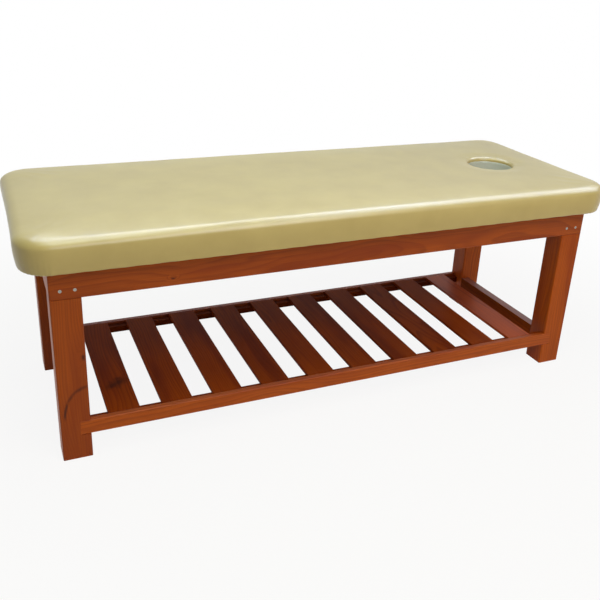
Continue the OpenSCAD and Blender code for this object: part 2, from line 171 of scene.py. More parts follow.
def add(tree, kind, settings=None, inputs=None):
    """Adds a shader node with its settings and fills its inputs. Settings that are only a word are the
    node's operation."""
    if isinstance(settings, str):
        settings = {"operation": settings}
    node = tree.nodes.new("ShaderNode" + kind)
    for name, value in (settings or {}).items():
        setattr(node, name, value)
    fill(tree, node, inputs or {})
    return node


def emptied(owner):
    """The node tree of a new material or world, with nothing in it."""
    owner.use_nodes = True
    owner.node_tree.nodes.clear()
    return owner.node_tree


def new_finish(name):
    """A material, its tree with a shader in it, and the place of each point in the bed's frame."""
    material = bpy.data.materials.new(name)
    tree = emptied(material)
    shader = add(tree, "BsdfPrincipled")
    add(tree, "OutputMaterial", inputs={"Surface": shader.outputs["BSDF"]})
    place = add(tree, "TexCoord").outputs["Object"]
    return material, tree, shader, place


def dress(node, material):
    """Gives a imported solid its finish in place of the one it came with."""
    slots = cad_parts[node].data.materials
    slots.clear()
    slots.append(material)


# Meshes

def smooth(value, low, high):
    """0 below low, 1 above high, and a smooth step between them."""
    t = np.clip((value - low) / (high - low), 0, 1)
    return t * t * (3 - 2 * t)


def circle(r, steps, middle_x=0.0):
    """Points round a middle on the X axis."""
    angles = [TURN * s / steps for s in range(steps)]
    return [(middle_x + r * math.cos(a), r * math.sin(a)) for a in angles]


def corner_arcs(half_l, half_w, r, steps):
    """The four corners of a rounded rectangle, each as a list of points against the clock."""
    arcs = []
    for q, (side_x, side_y) in enumerate(((1, 1), (-1, 1), (-1, -1), (1, -1))):
        cx, cy = side_x * (half_l - r), side_y * (half_w - r)
        angles = [TURN / 4 * (q + s / steps) for s in range(steps + 1)]
        arcs.append([(cx + r * math.cos(a), cy + r * math.sin(a)) for a in angles])
    return arcs


def two_loops(n, m):
    """The edges of a closed loop of n points and of a second one of the m points after them."""
    return [(i, (i + 1) % n) for i in range(n)] + [(n + i, n + (i + 1) % m) for i in range(m)]


def bridge(mesh, a, b):
    """Quads between two loops of vertices of equal length."""
    n = len(a)
    for i in range(n):
        mesh.faces.new((a[i], a[(i + 1) % n], b[(i + 1) % n], b[i]))


def fill_sheet(mesh, outer, inner, height, loose):
    """Fills the level region between a loop of vertices and a loop round the hole with triangles,
    through the loose points, and joins most of them to quads."""
    n, m = len(outer), len(inner)
    verts = [*outer, *inner]
    points = [v.co.to_2d() for v in verts] + [Vector(p) for p in loose]
    flat, _, faces, origin, _, _ = delaunay_2d_cdt(points, two_loops(n, m), [], 1, 1e-7)
    own = {}
    for i, p in enumerate(flat):
        source = origin[i][0] if origin[i] else len(points)
        own[i] = verts[source] if source < n + m else mesh.verts.new((p.x, p.y, height(p.x, p.y)))
    middle = Vector((HOLE_X, 0))
    inner_r = (inner[0].co.to_2d() - middle).length
    made = []
    for face in faces:
        centre = sum((flat[i] for i in face), Vector((0, 0))) / 3
        if (centre - middle).length > inner_r * 0.998:
            made.append(mesh.faces.new([own[i] for i in face]))
    bmesh.ops.join_triangles(mesh, faces=made, angle_face_threshold=0.7, angle_shape_threshold=0.9)


def place_mesh(name, mesh, material):
    """Puts a bmesh in the scene as an object with one finish."""
    data = bpy.data.meshes.new(name)
    mesh.to_mesh(data)
    mesh.free()
    data.materials.append(material)
    piece = bpy.data.objects.new(name, data)
    bpy.context.scene.collection.objects.link(piece)
    return piece


def bed_piece(name, mesh, material, rounded=True):
    """Makes a piece of a bmesh, which rides on the bed. A rounded one is shaded smooth."""
    bmesh.ops.recalc_face_normals(mesh, faces=mesh.faces)
    for face in mesh.faces:
        face.smooth = rounded
    piece = place_mesh(name, mesh, material)
    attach(piece, "root")
    return piece


def points_of(data):
    """The points of a mesh, a row for each."""
    flat = np.zeros(len(data.vertices) * 3)
    data.vertices.foreach_get("co", flat)
    return flat.reshape(-1, 3)


def move_points(data, points):
    """Gives the points of a mesh their new places."""
    data.vertices.foreach_set("co", points.ravel())
    data.update()


# Wood

# Turns that bring the grain's direction to the texture's own X
GRAIN_TURN = {"x": (0, 0, 0), "y": (0, 0, -math.pi / 2), "z": (0, math.pi / 2, 0)}
# Distance between two growth rings of plantation pine, drawn a little coarse so that it shows
RING_MM = 7.0
# How far a ring goes over to the colour of late wood
RING_DEPTH = 0.38
# Width of a fibre streak, drawn about ten fibres wide
STREAK_MM = 3.0
# A knot reaches twice as far along the grain as across it
KNOT_SHAPE = {"x": (0.5, 1, 1), "y": (1, 0.5, 1), "z": (1, 1, 0.5)}
# Dark brown of knots, resin and the densest late wood
DARK_WOOD = "2a0f06"


def lifted(hex_code, lift):
    """The linear colour of an sRGB hex code, made paler or darker by a factor, which carries each piece's
    painted light and shade.
    """
    return (*(lift * c for c in linear(hex_code)[:3]), 1.0)


def cut_from_trunk(tree, place, grain, centre, seed):
    """The place of each point of a board in its trunk, whose pith runs along X beside the board."""
    rng = random.Random(seed)
    side = rng.uniform(0, TURN)
    away = rng.uniform(55, 95) * MM
    along = rng.uniform(0, 4)
    turn = Matrix.Identity(3)
    for angle, axis in zip(GRAIN_TURN[grain], "XYZ"):
        turn = Matrix.Rotation(angle, 3, axis) @ turn
    pith = turn @ Vector(centre) + Vector((0, away * math.cos(side), away * math.sin(side)))
    board = add(tree, "Mapping", inputs={
        "Vector": place, "Rotation": GRAIN_TURN[grain], "Location": (along, -pith.y, -pith.z)})
    return board.outputs["Vector"]


def from_pith(tree, board):
    """Distance of each point from the pith. The trunk wanders: a slow drift across the grain, some
    35 mm over the length of a board."""
    stretched = add(tree, "Mapping", inputs={"Vector": board, "Scale": (1.6, 7, 7)})
    drift = add(tree, "TexNoise", inputs={
        "Vector": stretched.outputs["Vector"], "Scale": 1.0, "Detail": 2.0, "Roughness": 0.45})
    wandered = add(tree, "VectorMath", "MULTIPLY_ADD", {
        0: drift.outputs["Color"], 1: (0, 0.09, 0.09), 2: board})
    across = add(tree, "VectorMath", "MULTIPLY", {
        0: wandered.outputs["Vector"], 1: (0, 1, 1)})
    return add(tree, "VectorMath", "LENGTH", {
        0: across.outputs["Vector"]}).outputs["Value"]


def grown_knots(tree, place, grain, knots, radius):
    """Distance from the pith with the rings pushed aside by each knot, and the share of a knot's dark
    heart, whose edge is uneven. knots are (x, y, z, radius)."""
    heart = None
    ragged = add(tree, "TexNoise", inputs={"Vector": place, "Scale": 90.0, "Detail": 3.0})
    for x, y, z, knot_r in knots:
        offset = add(tree, "VectorMath", "SUBTRACT", {0: place, 1: (x, y, z)})
        reach = add(tree, "VectorMath", "MULTIPLY", {
            0: offset.outputs["Vector"], 1: KNOT_SHAPE[grain]})
        distance = add(tree, "VectorMath", "LENGTH", {
            0: reach.outputs["Vector"]}).outputs["Value"]
        push = add(tree, "MapRange", {"interpolation_type": "SMOOTHERSTEP"}, {
            "Value": distance, "From Min": 0.0, "From Max": 3.6 * knot_r,
            "To Min": 2.4 * knot_r, "To Max": 0.0})
        radius = add(tree, "Math", "ADD", {
            0: radius, 1: push.outputs["Result"]}).outputs["Value"]
        uneven = add(tree, "Math", "MULTIPLY_ADD", {
            0: ragged.outputs["Fac"], 1: 1.1 * knot_r, 2: distance})
        core = add(tree, "MapRange", {"interpolation_type": "SMOOTHSTEP"}, {
            "Value": uneven.outputs["Value"], "From Min": 0.6 * knot_r, "From Max": 1.7 * knot_r,
            "To Min": 0.8, "To Max": 0.0}).outputs["Result"]
        heart = core if heart is None else add(tree, "Math", "MAXIMUM", {
            0: heart, 1: core}).outputs["Value"]
    return radius, heart


def growth_rings(tree, radius):
    """Strength of the late wood: in each ring pale early wood darkens slowly to it, and the next ring
    starts pale again."""
    uneven = add(tree, "TexNoise", {"noise_dimensions": "1D"}, {
        "W": radius, "Scale": 60.0, "Detail": 1.0})
    count = add(tree, "Math", "MULTIPLY_ADD", {
        0: radius, 1: 1 / (RING_MM * MM), 2: uneven.outputs["Fac"]})
    phase = add(tree, "Math", "FRACT", {0: count.outputs["Value"]})
    ring = add(tree, "ValToRGB", inputs={"Fac": phase.outputs["Value"]})
    stops = ring.color_ramp.elements
    stops[0].color = (0.05, 0.05, 0.05, 1)
    stops[1].color = (0.10, 0.10, 0.10, 1)
    stops.new(0.45).color = (0.22, 0.22, 0.22, 1)
    stops.new(0.84).color = (1, 1, 1, 1)
    stops.new(0.92).color = (0.9, 0.9, 0.9, 1)
    return add(tree, "Math", "MULTIPLY", {
        0: ring.outputs["Color"], 1: RING_DEPTH}).outputs["Value"]


def fibre_streaks(tree, board):
    """Streaks along the grain."""
    fibre_map = add(tree, "Mapping", inputs={
        "Vector": board, "Scale": (6, 1 / (STREAK_MM * MM), 1 / (STREAK_MM * MM))})
    return add(tree, "TexNoise", inputs={
        "Vector": fibre_map.outputs["Vector"], "Scale": 1.0, "Detail": 5.0,
        "Roughness": 0.65}).outputs["Fac"]


def stained(tree, board, tones, late_share, fibre):
    """Colour of the wood: early wood to late wood, shaded by the fibres, and with patches where the
    stain sinks deeper."""
    early, late, deep = tones
    colour = add(tree, "Mix", {"data_type": "RGBA"}, {
        "Factor": late_share, "A": early, "B": late}).outputs[2]
    shade = add(tree, "MapRange", inputs={
        "Value": fibre, "From Min": 0.25, "From Max": 0.75, "To Min": 0.80, "To Max": 1.14})
    colour = add(tree, "VectorMath", "SCALE", {
        0: colour, "Scale": shade.outputs["Result"]}).outputs["Vector"]
    patch_map = add(tree, "Mapping", inputs={"Vector": board, "Scale": (2.2, 16, 16)})
    patch = add(tree, "TexNoise", inputs={
        "Vector": patch_map.outputs["Vector"], "Scale": 1.0, "Detail": 2.0, "Roughness": 0.5})
    sunk = add(tree, "MapRange", {"interpolation_type": "SMOOTHSTEP"}, {
        "Value": patch.outputs["Fac"], "From Min": 0.42, "From Max": 0.72, "To Min": 0.0, "To Max": 0.75})
    return add(tree, "Mix", {"data_type": "RGBA"}, {
        "Factor": sunk.outputs["Result"], "A": colour, "B": deep}).outputs[2]


def pine(name, grain, centre, seed, tones, gloss, knots, mark, shine, side_shine):
    """Planed pine. The rings run round a pith line beside the board, which wanders along the trunk,
    so that the faces show arches and the ends show arcs. tones are the early wood, the late wood
    and the deep patches of the stain. side_shine is the lacquer's shine on upright faces, where it
    isn't the same as on the top, which cloths rub."""
    material, tree, shader, place = new_finish(name)
    board = cut_from_trunk(tree, place, grain, centre, seed)
    radius = from_pith(tree, board)
    dark_shares = []
    if knots:
        radius, heart = grown_knots(tree, place, grain, knots, radius)
        dark_shares.append(heart)
    if mark is not None:
        dark_shares.append(mark(tree, place))
    late_share = growth_rings(tree, radius)
    fibre = fibre_streaks(tree, board)
    colour = stained(tree, board, tones, late_share, fibre)
    for dark_share in dark_shares:
        colour = add(tree, "Mix", {"data_type": "RGBA"}, {
            "Factor": dark_share, "A": colour, "B": linear(DARK_WOOD)}).outputs[2]
    relief = add(tree, "Math", "MULTIPLY_ADD", {0: fibre, 1: 0.6, 2: late_share})
    bump = add(tree, "Bump", inputs={
        "Height": relief.outputs["Value"], "Strength": 0.35, "Distance": 0.25 * MM})
    rough = add(tree, "MapRange", inputs={
        "Value": fibre, "To Min": gloss[0], "To Max": gloss[1]})
    if side_shine is not None:
        normal = add(tree, "NewGeometry").outputs["Normal"]
        upward = add(tree, "SeparateXYZ", inputs={"Vector": normal}).outputs["Z"]
        shine = add(tree, "MapRange", inputs={
            "Value": upward, "From Min": 0.7, "From Max": 0.95, "To Min": side_shine,
            "To Max": shine}).outputs["Result"]
    fill(tree, shader, {
        "Base Color": colour, "Normal": bump.outputs["Normal"], "Roughness": rough.outputs["Result"],
        "IOR": 1.5, "Specular IOR Level": shine})
    return material


def smudge(tree, place):
    """A dark patch of resin on the first slat, some 110 by 60 mm and askew, as a share from 0 to 1."""
    middle = (-0.668, -0.122, 0.117)
    ragged = add(tree, "TexNoise", inputs={"Vector": place, "Scale": 45.0, "Detail": 3.0})
    turned = add(tree, "Mapping", {"vector_type": "TEXTURE"}, {
        "Vector": place, "Location": middle, "Rotation": (0, 0, math.radians(36)),
        "Scale": (0.062, 0.030, 1)})
    far = add(tree, "VectorMath", "LENGTH", {0: turned.outputs["Vector"]})
    uneven = add(tree, "Math", "MULTIPLY_ADD", {
        0: ragged.outputs["Fac"], 1: 1.4, 2: far.outputs["Value"]})
    patch = add(tree, "MapRange", {"interpolation_type": "SMOOTHSTEP"}, {
        "Value": uneven.outputs["Value"], "From Min": 0.75, "From Max": 1.8, "To Min": 0.70, "To Max": 0.0})
    return patch.outputs["Result"]


def grain_arc(tree, place):
    """A dark line of late wood on the front leg at the foot end: it rises from the leg's outer edge
    to its inner edge in a quarter of an arch, as a share from 0 to 1."""
    middle, radii, low_end = (-0.776, 0, 0.128), (0.066, 0.098), 0.132
    waver = add(tree, "TexNoise", inputs={"Vector": place, "Scale": 26.0, "Detail": 6.0})
    offset = add(tree, "VectorMath", "SUBTRACT", {0: place, 1: middle})
    scaled = add(tree, "VectorMath", "MULTIPLY", {
        0: offset.outputs["Vector"], 1: (1 / radii[0], 0, 1 / radii[1])})
    length = add(tree, "VectorMath", "LENGTH", {0: scaled.outputs["Vector"]})
    wavered = add(tree, "Math", "MULTIPLY_ADD", {
        0: waver.outputs["Fac"], 1: 0.14, 2: length.outputs["Value"]})
    past_line = add(tree, "Math", "SUBTRACT", {0: wavered.outputs["Value"], 1: 1.04})
    off_line = add(tree, "Math", "ABSOLUTE", {0: past_line.outputs["Value"]})
    depth = add(tree, "MapRange", inputs={
        "Value": waver.outputs["Fac"], "From Min": 0.38, "From Max": 0.60, "To Min": 0.25, "To Max": 0.80})
    line = add(tree, "MapRange", {"interpolation_type": "SMOOTHSTEP"}, {
        "Value": off_line.outputs["Value"], "From Min": 0.005, "From Max": 0.095,
        "To Min": depth.outputs["Result"], "To Max": 0.0})
    height = add(tree, "SeparateXYZ", inputs={"Vector": place})
    fade = add(tree, "MapRange", {"interpolation_type": "SMOOTHSTEP"}, {
        "Value": height.outputs["Z"], "From Min": low_end - 0.012, "From Max": low_end + 0.015})
    return add(tree, "Math", "MULTIPLY", {
        0: line.outputs["Result"], 1: fade.outputs["Result"]}).outputs["Value"]


# Stained pine, satin lacquered: an orange-brown that is redder and darker in the late wood
FRAME_TONES = ("b95710", "762906", "913806")
LEG_TONES = ("b4540c", "782c05", "923a05")
RAIL_TONES = ("c25c12", "842e07", "9c3e08")
# Slats and cleats: darker than the rails and frame, as painted shade of the shelf under the top
SHADED_SHELF_TONES = ("9c420a", "561a05", "6c2406")
# Bare softwood of the bearers: pale, dull, with soft rings
BARE_TONES = ("d9bb86", "b88d57", "c9a873")
TONES = {"leg": LEG_TONES, "apron": FRAME_TONES, "shelf": RAIL_TONES, "slat": SHADED_SHELF_TONES,
         "bearer": BARE_TONES}
# Least and most roughness of satin lacquer and of bare wood
SATIN = (0.36, 0.52)
DULL = (0.60, 0.75)
# Shine of the lacquer, and of what is left of it on the slats and cleats
LACQUER_SHINE = 0.2
WORN_SHINE = 0.02
# Pieces with another shine, all over and on their upright faces
SHINES = {"slat_10": 0.12, "shelf_rail_head": 0.4, "leg_head_front": 0.15}
SIDE_SHINES = {"shelf_rail_head": 0.02}
# Pieces made paler or darker by a factor on their colours. This is painted light and shade: paler where
# light falls, at the head end and on the front slats, darker where shade falls, on the front apron under
# the top and on the rear and head rails and the rear cleat.
PAINTED_LIGHT_FACTORS = {
    "leg_head_front": 1.16, "leg_head_rear": 1.6, "apron_front": 0.95,
    "shelf_rail_rear": 0.75, "shelf_rail_head": 0.65, "shelf_cleat_rear": 0.6,
    "slat_1": 1.15, "slat_2": 1.12, "slat_3": 1.12, "slat_9": 1.2, "slat_10": 1.9,
}
# Knots, as x, y, z and radius
KNOTS = {
    "apron_front": ((-0.533, -0.292, 0.510, 0.004),),
    "leg_foot_front": ((-0.779, -0.292, 0.314, 0.006),),
    "apron_rear": ((0.420, 0.292, 0.540, 0.010),),
    "leg_head_rear": ((0.830, 0.292, 0.330, 0.009),),
}
MARKS = {"leg_foot_front": grain_arc, "slat_1": smudge}


def dress_wood():
    """Gives every wooden node a finish of its own, cut from its own place in the trunk."""
    for index, name in enumerate(sorted(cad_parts)):
        kind = name.split("_")[0]
        if kind not in TONES or name.endswith(("dowels", "screws")):
            continue
        lo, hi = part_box(name)
        size = hi - lo
        bare = kind == "bearer"
        worn_and_shaded = kind == "slat" or "cleat" in name
        # slats and cleats take the darker tones of painted shade, and the shine of worn lacquer
        tones = SHADED_SHELF_TONES if worn_and_shaded else TONES[kind]
        dress(name, pine(
            name=f"{'bare' if bare else 'stained'}_pine_{name}",
            grain="xyz"[max(range(3), key=lambda i: size[i])],
            centre=(lo + hi) / 2,
            seed=11 + index,
            # painted light and shade: each piece's colours are scaled by its factor
            tones=[lifted(tone, PAINTED_LIGHT_FACTORS.get(name, 1.0)) for tone in tones],
            gloss=DULL if bare else SATIN,
            knots=KNOTS.get(name, ()),
            mark=MARKS.get(name),
            shine=SHINES.get(name, WORN_SHINE if worn_and_shaded else LACQUER_SHINE),
            side_shine=SIDE_SHINES.get(name)))


def plywood():
    """Poplar plywood: 1.7 mm veneers laid crosswise, so that the edges show light and dark layers."""
    material, tree, shader, place = new_finish("poplar_plywood_sanded")
    height = add(tree, "SeparateXYZ", inputs={"Vector": place})
    layer = add(tree, "Math", "MULTIPLY", {
        0: height.outputs["Z"], 1: TURN / (3.4 * MM)})
    wave = add(tree, "Math", "SINE", {0: layer.outputs["Value"]})
    stretched = add(tree, "Mapping", inputs={"Vector": place, "Scale": (4, 90, 90)})
    fibre = add(tree, "TexNoise", inputs={
        "Vector": stretched.outputs["Vector"], "Scale": 1.0, "Detail": 3.0})
    tone = add(tree, "Math", "MULTIPLY_ADD", {
        0: wave.outputs["Value"], 1: 0.2, 2: fibre.outputs["Fac"]})
    ramp = add(tree, "ValToRGB", inputs={"Fac": tone.outputs["Value"]})
    ramp.color_ramp.elements[0].color = linear("b3946a")
    ramp.color_ramp.elements[1].color = linear("e0c9a0")
    fill(tree, shader, {"Base Color": ramp.outputs["Color"], "Roughness": 0.7})
    return material


def dowel_wood():
    """Turned beech: pale pinkish brown with short dark flecks."""
    material, tree, shader, place = new_finish("beech_turned")
    fleck = add(tree, "TexNoise", inputs={"Vector": place, "Scale": 260.0, "Detail": 2.0})
    ramp = add(tree, "ValToRGB", inputs={"Fac": fleck.outputs["Fac"]})
    ramp.color_ramp.elements[0].position = 0.35
    ramp.color_ramp.elements[0].color = linear("b08862")
    ramp.color_ramp.elements[1].position = 0.55
    ramp.color_ramp.elements[1].color = linear("d6b28a")
    fill(tree, shader, {"Base Color": ramp.outputs["Color"], "Roughness": 0.65})
    return material


# Screws and staples

def zinc():
    """Zinc plating, passivated: a pale bluish metal, slightly cloudy, dull in the pressed recesses."""
    material, tree, shader, place = new_finish("zinc_plated_steel")
    cloud = add(tree, "TexNoise", inputs={"Vector": place, "Scale": 700.0, "Detail": 3.0})
    ramp = add(tree, "ValToRGB", inputs={"Fac": cloud.outputs["Fac"]})
    ramp.color_ramp.elements[0].color = linear("8f8d82")
    ramp.color_ramp.elements[1].color = linear("b9b6a8")
    rough = add(tree, "MapRange", inputs={
        "Value": cloud.outputs["Fac"], "To Min": 0.42, "To Max": 0.58})
    fill(tree, shader, {
        "Base Color": ramp.outputs["Color"], "Roughness": rough.outputs["Result"], "Metallic": 1.0})
    return material


def islands(node):
    """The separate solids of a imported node, each as a list of points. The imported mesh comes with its
    faces apart at every sharp edge, so a copy of it is welded first."""
    mesh = bmesh.new()
    mesh.from_mesh(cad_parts[node].data)
    bmesh.ops.remove_doubles(mesh, verts=mesh.verts, dist=0.02 * MM)
    left = set(mesh.verts)
    found = []
    while left:
        open_ends = [left.pop()]
        points = []
        while open_ends:
            vert = open_ends.pop()
            points.append(vert.co.copy())
            for edge in vert.link_edges:
                other = edge.other_vert(vert)
                if other in left:
                    left.remove(other)
                    open_ends.append(other)
        found.append(points)
    mesh.free()
    return sorted(found, key=lambda points: tuple(sum(points, Vector()) / len(points)))


def screw_of(points):
    """(middle of the head's face, direction into the wood, head radius, shank radius, length)."""
    lo = Vector([min(p[i] for p in points) for i in range(3)])
    hi = Vector([max(p[i] for p in points) for i in range(3)])
    axis = max(range(3), key=lambda i: (hi - lo)[i])
    middle = (lo + hi) / 2

    def girth(end):
        near = [p - middle for p in points if abs(p[axis] - end) < 0.1 * MM]
        for p in near:
            p[axis] = 0
        return max(p.length for p in near)

    low_r, high_r = girth(lo[axis]), girth(hi[axis])
    head_is_low = low_r > high_r
    face = middle.copy()
    face[axis] = (lo if head_is_low else hi)[axis]
    into = Vector([0, 0, 0])
    into[axis] = 1 if head_is_low else -1
    return face, into, max(low_r, high_r), min(low_r, high_r), (hi - lo)[axis]


def cross_outline(arm, half):
    """The outline of a cross, from its arms' length and half width."""
    points = []
    for q in range(4):
        c, s = math.cos(TURN / 4 * q), math.sin(TURN / 4 * q)
        points += [(x * c - y * s, x * s + y * c) for x, y in ((arm, -half), (arm, half), (half, half))]
    return points


def inside_cross(point, arm, half):
    """True where a point of the head's face lies in the cross recess."""
    x, y = abs(point.x), abs(point.y)
    return (x < half and y < arm) or (y < half and x < arm)


def cross_screw(mesh, face, into, head_r, shank_r, length):
    """A countersunk screw with a tapered cross recess."""
    side = into.orthogonal().normalized()
    other = into.cross(side)

    def ring(points, sink):
        return [mesh.verts.new(face + side * x + other * y + into * sink) for x, y in points]

    flat_r = HEAD_FLAT * head_r
    body = [(flat_r, 0.0), (head_r, 0.05 * head_r), (head_r, 0.10 * head_r), (shank_r, head_r - shank_r),
            (shank_r, length)]
    rings = [ring(circle(r, SCREW_STEPS), sink) for r, sink in body]
    for a, b in zip(rings, rings[1:]):
        bridge(mesh, a, b)
    mesh.faces.new(rings[-1])

    arm, half = RECESS_ARM * head_r, RECESS_HALF * head_r
    mouth = ring(cross_outline(arm, half), 0)
    bottom = ring(cross_outline(0.45 * arm, 0.7 * half), RECESS_DEPTH * head_r)
    bridge(mesh, mouth, bottom)
    mesh.faces.new(bottom)

    verts = rings[0] + mouth
    flat = [Vector(p) for p in circle(flat_r, SCREW_STEPS) + cross_outline(arm, half)]
    _, _, faces, origin, _, _ = delaunay_2d_cdt(flat, two_loops(SCREW_STEPS, len(mouth)), [], 1, 1e-9)
    for triangle in faces:
        ids = [origin[i][0] for i in triangle]
        centre = sum((flat[i] for i in ids), Vector((0, 0))) / 3
        if min(ids) < SCREW_STEPS or not inside_cross(centre, arm, half):
            mesh.faces.new([verts[i] for i in ids])


def screws(material):
    """The bed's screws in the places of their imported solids, with recesses in their heads."""
    for node in ("apron_screws", "end_apron_screws", "deck_screws", "slat_screws", "cleat_screws"):
        mesh = bmesh.new()
        for points in islands(node):
            cross_screw(mesh, *screw_of(points))
        piece = bed_piece("recessed_" + node, mesh, material, rounded=False)
        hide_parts(node)


def staples(material):
    """Staples through the cover's return, at slightly uneven distances and angles."""
    rng = random.Random(4)
    mesh = bmesh.new()
    loop = outline(STAPLE_INSET, 0)
    steps = np.linalg.norm(np.roll(loop, -1, 0) - loop, axis=1)
    reach = np.concatenate([[0], np.cumsum(steps)])
    count = int(reach[-1] / STAPLE_PITCH)
    size = Matrix.Diagonal((*STAPLE_SIZE, 1))
    for i in range(count):
        at = (i + rng.uniform(-0.12, 0.12)) * reach[-1] / count % reach[-1]
        k = min(int(np.searchsorted(reach, at, "right")) - 1, len(loop) - 1)
        a, b = loop[k], loop[(k + 1) % len(loop)]
        spot = a + (b - a) * (at - reach[k]) / steps[k]
        angle = math.atan2(*(b - a)[::-1]) + rng.uniform(-0.2, 0.2)
        place = Matrix.Translation((spot[0], spot[1], SOLE_Z + 0.15 * MM)) @ Matrix.Rotation(angle, 4, "Z")
        crown = bmesh.ops.create_cube(mesh, size=1.0, matrix=place @ size)
        edges = list({e for v in crown["verts"] for e in v.link_edges})
        bmesh.ops.bevel(mesh, geom=edges, offset=0.15 * MM, segments=1, affect="EDGES")
    piece = bed_piece("cover_staples", mesh, material)


# Upholstery

def fleece():
    """Spunbonded polypropylene, 70 g to the square metre: matt black, with the pressed dots of the
    bonding roller every 1.5 mm, drawn at 4 mm so that they show."""
    material, tree, shader, place = new_finish("black_spunbond_fleece")
    dots = add(tree, "TexVoronoi", {"feature": "F1"}, {
        "Vector": place, "Scale": 1 / (4 * MM), "Randomness": 0.15})
    fibre = add(tree, "TexNoise", inputs={"Vector": place, "Scale": 400.0, "Detail": 3.0})
    tone = add(tree, "Math", "MULTIPLY_ADD", {
        0: fibre.outputs["Fac"], 1: 0.6, 2: dots.outputs["Distance"]})
    ramp = add(tree, "ValToRGB", inputs={"Fac": tone.outputs["Value"]})
    ramp.color_ramp.elements[0].color = linear("0c0c0d")
    ramp.color_ramp.elements[1].color = linear("2a2a2b")
    bump = add(tree, "Bump", inputs={
        "Height": dots.outputs["Distance"], "Strength": 0.5, "Distance": 0.3 * MM})
    fill(tree, shader, {
        "Base Color": ramp.outputs["Color"], "Normal": bump.outputs["Normal"], "Roughness": 0.9})
    return material


def vinyl(name, low_tone, high_tone):
    """Upholstery vinyl, PVC on a knitted back, embossed with a fine leather grain. It has a soft broad
    gloss, broken by shallow creases about 45 mm long, and its tone changes faintly over 110 mm. The
    grain's pebbles are about 1 mm and drawn at 2.5 mm, so that they show."""
    material, tree, shader, place = new_finish(name)
    pebble = add(tree, "TexVoronoi", {"feature": "SMOOTH_F1"}, {
        "Vector": place, "Scale": 1 / (2.5 * MM), "Smoothness": 0.6})
    crease = add(tree, "TexNoise", inputs={"Vector": place, "Scale": 22.0, "Detail": 5.0})
    height = add(tree, "Math", "MULTIPLY_ADD", {
        0: crease.outputs["Fac"], 1: 5.0, 2: pebble.outputs["Distance"]})
    bump = add(tree, "Bump", inputs={
        "Height": height.outputs["Value"], "Strength": 0.30, "Distance": 0.12 * MM})
    cloud = add(tree, "TexNoise", inputs={"Vector": place, "Scale": 9.0, "Detail": 5.0})
    tint = add(tree, "ValToRGB", inputs={"Fac": cloud.outputs["Fac"]})
    tint.color_ramp.elements[0].position = 0.3
    tint.color_ramp.elements[0].color = linear(low_tone)
    tint.color_ramp.elements[1].position = 0.7
    tint.color_ramp.elements[1].color = linear(high_tone)
    rough = add(tree, "MapRange", inputs={
        "Value": cloud.outputs["Fac"], "To Min": 0.28, "To Max": 0.36})
    fill(tree, shader, {
        "Base Color": tint.outputs["Color"], "Normal": bump.outputs["Normal"],
        "Roughness": rough.outputs["Result"], "IOR": 1.5})
    return material


def outline(inset, draw):
    """One level loop of the top at a distance in from its widest outline. The sides are drawn in
    between the corners by draw."""
    half_l, half_w = HALF_L - inset, HALF_W - inset
    r = max(CORNER_R - inset, MM)
    loop = []
    for q, arc in enumerate(corner_arcs(half_l, half_w, r, CORNER_STEPS)):
        loop += arc
        steps, half = (LONG_STEPS, half_l) if q % 2 == 0 else (SHORT_STEPS, half_w)
        a = TURN / 4 * (q + 1)
        x0, y0 = arc[-1]
        for s in range(1, steps):
            pull = draw * math.sin(math.pi * s / steps)
            forward = 2 * (half - r) * s / steps
            loop.append((x0 - math.sin(a) * forward - math.cos(a) * pull,
                         y0 + math.cos(a) * forward - math.sin(a) * pull))
    return np.array(loop)


def top_profile():
    """(inset, height, drawing-in) of the loops from the cover's return out, round the foot, up the
    side and over the edge."""
    loops = [(RETURN_W, RETURN_Z, 0), (RETURN_W * 0.6, RETURN_Z, 0)]
    for s in range(FOOT_STEPS + 1):
        a = TURN / 4 * s / FOOT_STEPS
        loops.append((FOOT_PULL + FOOT_R * (1 - math.sin(a)), RETURN_Z + FOOT_R * (1 - math.cos(a)),
                      SIDE_DRAW * s / FOOT_STEPS))
    side_low = RETURN_Z + FOOT_R
    for s in range(1, SIDE_STEPS + 1):
        share = s / SIDE_STEPS
        inset = FOOT_PULL * (1 - share) ** 1.6 - SIDE_BULGE * math.sin(math.pi * share)
        loops.append((inset, side_low + (EDGE_Z - side_low) * share, SIDE_DRAW))
    for s in range(1, EDGE_STEPS + 1):
        a = TURN / 4 * s / EDGE_STEPS
        loops.append((EDGE_RUN * (1 - math.cos(a)), EDGE_Z + EDGE_DROP * math.sin(a),
                      SIDE_DRAW * (1 - 0.5 * s / EDGE_STEPS)))
    return loops


def crown_z(x, y):
    """Height of the top's face: it rises over a band along the edge, and dips round the hole."""
    depth = min(HALF_L - EDGE_RUN - abs(x), HALF_W - EDGE_RUN - abs(y))
    share = min(max(depth / CROWN_BAND, 0), 1)
    rise = CROWN * (1 - (1 - share) ** 2)
    away = math.hypot(x - HOLE_X, y) - CREST_R
    return FLAT_Z + rise - HOLE_DIP * math.exp(-(away / HOLE_DIP_REACH) ** 2)


def roll_profile():
    """(radius, height) of the loops from the face over the soft roll into the hole, and to its foot."""
    crest_z = crown_z(HOLE_X + CREST_R, 0)
    loops = []
    for s in range(ROLL_STEPS + 1):
        a = TURN / 4 * s / ROLL_STEPS
        loops.append((CREST_R - RIM_R * math.sin(a), crest_z - RIM_R * (1 - math.cos(a))))
    behind_r = HOLE_R + 2 * MM
    return loops + [(behind_r, loops[-1][1] - 2.5 * MM), (behind_r, RETURN_Z)]


def past_sides(x, y):
    """How far points lie past the straight sides of the top, along it and across it. Both are above 0
    only in a corner."""
    return np.abs(x) - (HALF_L - CORNER_R), np.abs(y) - (HALF_W - CORNER_R)


